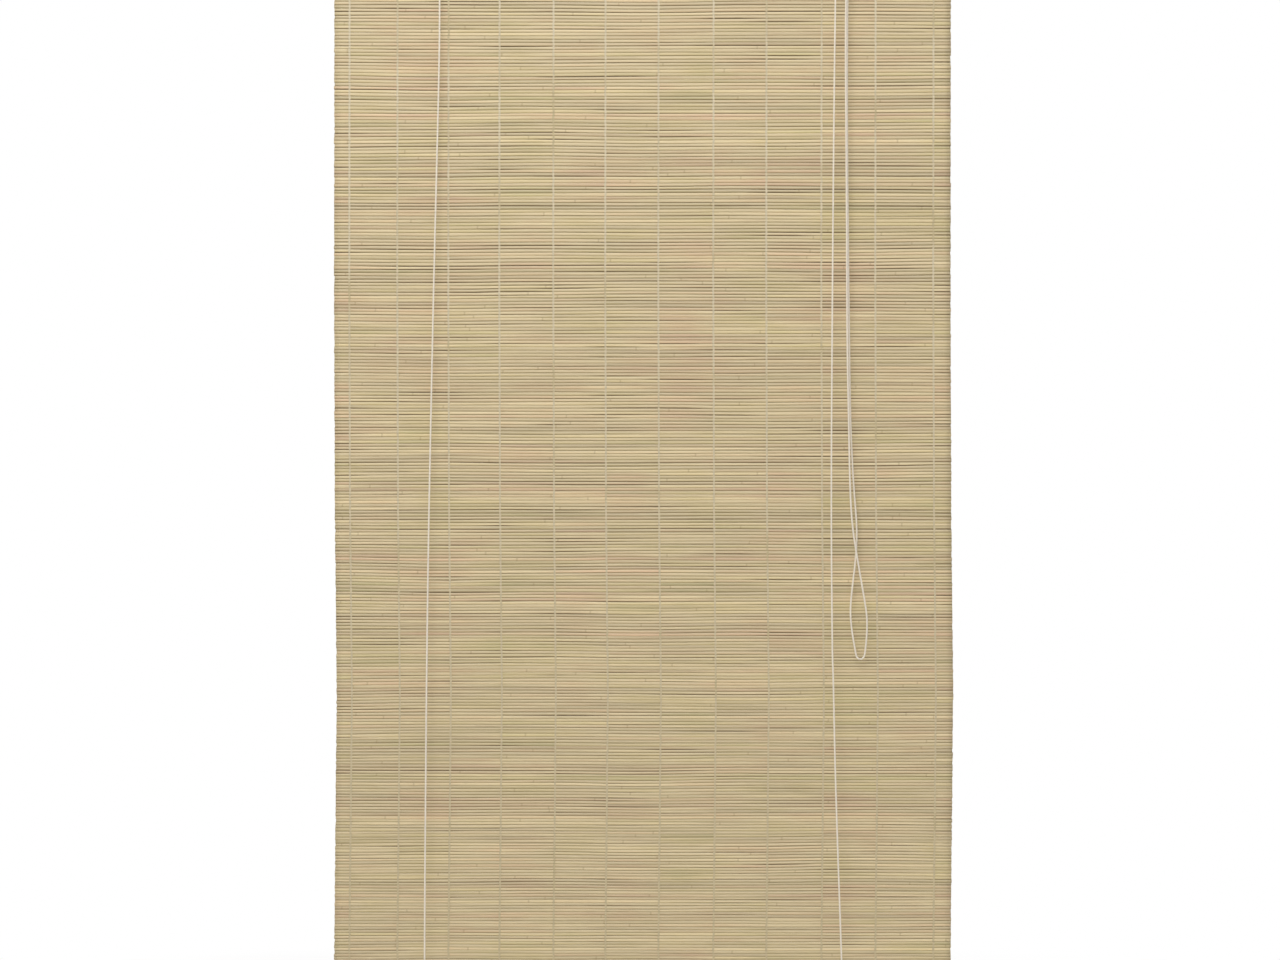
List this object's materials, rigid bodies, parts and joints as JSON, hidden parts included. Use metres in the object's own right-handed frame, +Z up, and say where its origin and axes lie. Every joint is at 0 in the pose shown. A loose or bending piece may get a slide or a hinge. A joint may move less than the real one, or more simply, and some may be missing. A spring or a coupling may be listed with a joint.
{
  "type": "bamboo roll up blind",
  "caption": "Woven mat of bamboo slats on a wooden head rail, drawn up by two lift cords over a cord lock, rolling round its bottom dowel.",
  "frame": {"origin": "midway between the two hanging holes, on the wall side of their plates", "axes": "+Z up along the drop of the mat, +X along the head rail to the right seen from the room, -Y out into the room"},
  "size_m": [0.8, 0.0298, 1.6245],
  "materials": {
    "bamboo": "split bamboo slats, natural, satin",
    "rail_wood": "planed pale softwood, clear matt lacquer",
    "dowel_wood": "turned pale wood, clear matt lacquer",
    "cord": "braided off-white cord",
    "wheel": "moulded off-white plastic",
    "pawl": "cast brass, satin",
    "staple_wire": "galvanised wire",
    "plate_metal": "zinc plated strip",
    "strap_metal": "zinc plated strip",
    "screw_metal": "zinc plated"
  },
  "bodies": {
    "rail": {"cord_staples": "staple_wire", "cross_cord": "cord", "hanging_plate_left": "plate_metal", "hanging_plate_right": "plate_metal", "hanging_plate_screws": "screw_metal", "head_rail": "rail_wood", "left_strap_screws": "screw_metal", "left_wheel_axle": "screw_metal", "left_wheel_strap": "strap_metal", "lift_cord_left": "cord", "lift_cord_right": "cord", "lock_pawl_pin": "screw_metal", "lock_strap": "strap_metal", "lock_strap_screws": "screw_metal", "lock_wheel_axle": "screw_metal", "mat_top_band": "bamboo", "mat_upper": "bamboo", "pull_cord": "cord", "rail_staples": "staple_wire"},
    "rising_panel": {"mat_panel_01": "bamboo"},
    "turn_02": {"mat_panel_02": "bamboo"},
    "turn_03": {"mat_panel_03": "bamboo"},
    "turn_04": {"mat_panel_04": "bamboo"},
    "turn_05": {"mat_panel_05": "bamboo"},
    "turn_06": {"mat_panel_06": "bamboo"},
    "turn_07": {"mat_panel_07": "bamboo"},
    "turn_08": {"mat_panel_08": "bamboo"},
    "turn_09": {"mat_panel_09": "bamboo"},
    "turn_10": {"mat_panel_10": "bamboo"},
    "turn_11": {"mat_panel_11": "bamboo"},
    "turn_12": {"mat_panel_12": "bamboo"},
    "turn_13": {"mat_panel_13": "bamboo"},
    "turn_14": {"mat_panel_14": "bamboo"},
    "turn_15": {"mat_bottom_panel": "bamboo", "bottom_dowel": "dowel_wood", "dowel_staples": "staple_wire"},
    "left_wheel": {"left_wheel": "wheel"},
    "lock_wheel_inner": {"lock_wheel_inner": "wheel"},
    "lock_wheel_outer": {"lock_wheel_outer": "wheel"},
    "lock_pawl": {"lock_pawl": "pawl"}
  },
  "joints": [
    {"name": "raise", "type": "slide", "parent": "rail", "child": "rising_panel", "axis": [0, 0, 1], "range_m": [0, 1.02912], "deforming": ["mat_upper", "lift_cord_left", "lift_cord_right", "pull_cord"]},
    {"name": "turn_02", "type": "hinge", "parent": "rising_panel", "child": "turn_02", "pos_m": [0, -0.0078, -1.16382], "axis": [-1, 0, 0], "range_deg": [0, 32.13]},
    {"name": "turn_03", "type": "hinge", "parent": "turn_02", "child": "turn_03", "pos_m": [0, -0.0078, -1.20334], "axis": [-1, 0, 0], "range_deg": [0, 67.06]},
    {"name": "turn_04", "type": "hinge", "parent": "turn_03", "child": "turn_04", "pos_m": [0, -0.0078, -1.24268], "axis": [-1, 0, 0], "range_deg": [0, 66.18]},
    {"name": "turn_05", "type": "hinge", "parent": "turn_04", "child": "turn_05", "pos_m": [0, -0.0078, -1.27792], "axis": [-1, 0, 0], "range_deg": [0, 64.94]},
    {"name": "turn_06", "type": "hinge", "parent": "turn_05", "child": "turn_06", "pos_m": [0, -0.0078, -1.31302], "axis": [-1, 0, 0], "range_deg": [0, 68.1]},
    {"name": "turn_07", "type": "hinge", "parent": "turn_06", "child": "turn_07", "pos_m": [0, -0.0078, -1.34797], "axis": [-1, 0, 0], "range_deg": [0, 71.83]},
    {"name": "turn_08", "type": "hinge", "parent": "turn_07", "child": "turn_08", "pos_m": [0, -0.0078, -1.38277], "axis": [-1, 0, 0], "range_deg": [0, 76.33]},
    {"name": "turn_09", "type": "hinge", "parent": "turn_08", "child": "turn_09", "pos_m": [0, -0.0078, -1.41742], "axis": [-1, 0, 0], "range_deg": [0, 76.6]},
    {"name": "turn_10", "type": "hinge", "parent": "turn_09", "child": "turn_10", "pos_m": [0, -0.0078, -1.4481], "axis": [-1, 0, 0], "range_deg": [0, 76.36]},
    {"name": "turn_11", "type": "hinge", "parent": "turn_10", "child": "turn_11", "pos_m": [0, -0.0078, -1.47867], "axis": [-1, 0, 0], "range_deg": [0, 82.91]},
    {"name": "turn_12", "type": "hinge", "parent": "turn_11", "child": "turn_12", "pos_m": [0, -0.0078, -1.50912], "axis": [-1, 0, 0], "range_deg": [0, 91.7]},
    {"name": "turn_13", "type": "hinge", "parent": "turn_12", "child": "turn_13", "pos_m": [0, -0.0078, -1.53945], "axis": [-1, 0, 0], "range_deg": [0, 96.06]},
    {"name": "turn_14", "type": "hinge", "parent": "turn_13", "child": "turn_14", "pos_m": [0, -0.0078, -1.56591], "axis": [-1, 0, 0], "range_deg": [0, 100.35]},
    {"name": "turn_15", "type": "hinge", "parent": "turn_14", "child": "turn_15", "pos_m": [0, -0.0078, -1.59227], "axis": [-1, 0, 0], "range_deg": [0, 102.83]},
    {"name": "left_wheel_turn", "type": "hinge", "parent": "rail", "child": "left_wheel", "pos_m": [-0.2566, -0.0145, -0.06], "axis": [0, 1, 0], "continuous": true},
    {"name": "lock_wheel_inner_turn", "type": "hinge", "parent": "rail", "child": "lock_wheel_inner", "pos_m": [0.2584, -0.0145, -0.062], "axis": [0, 1, 0], "continuous": true},
    {"name": "lock_wheel_outer_turn", "type": "hinge", "parent": "rail", "child": "lock_wheel_outer", "pos_m": [0.2584, -0.0201, -0.062], "axis": [0, 1, 0], "continuous": true},
    {"name": "lock_pawl_swing", "type": "hinge", "parent": "rail", "child": "lock_pawl", "pos_m": [0.2789, -0.0173, -0.066], "axis": [0, -1, 0], "range_deg": [0, 40]}
  ],
  "couplings": [
    {"joint": "turn_02", "follows": "raise", "rad_per_m": 0.52902},
    {"joint": "turn_03", "follows": "raise", "rad_per_m": 1.1042},
    {"joint": "turn_04", "follows": "raise", "rad_per_m": 1.0897},
    {"joint": "turn_05", "follows": "raise", "rad_per_m": 1.0693},
    {"joint": "turn_06", "follows": "raise", "rad_per_m": 1.1213},
    {"joint": "turn_07", "follows": "raise", "rad_per_m": 1.1828},
    {"joint": "turn_08", "follows": "raise", "rad_per_m": 1.2569},
    {"joint": "turn_09", "follows": "raise", "rad_per_m": 1.2612},
    {"joint": "turn_10", "follows": "raise", "rad_per_m": 1.2573},
    {"joint": "turn_11", "follows": "raise", "rad_per_m": 1.3651},
    {"joint": "turn_12", "follows": "raise", "rad_per_m": 1.5099},
    {"joint": "turn_13", "follows": "raise", "rad_per_m": 1.5816},
    {"joint": "turn_14", "follows": "raise", "rad_per_m": 1.6523},
    {"joint": "turn_15", "follows": "raise", "rad_per_m": 1.6931}
  ]
}
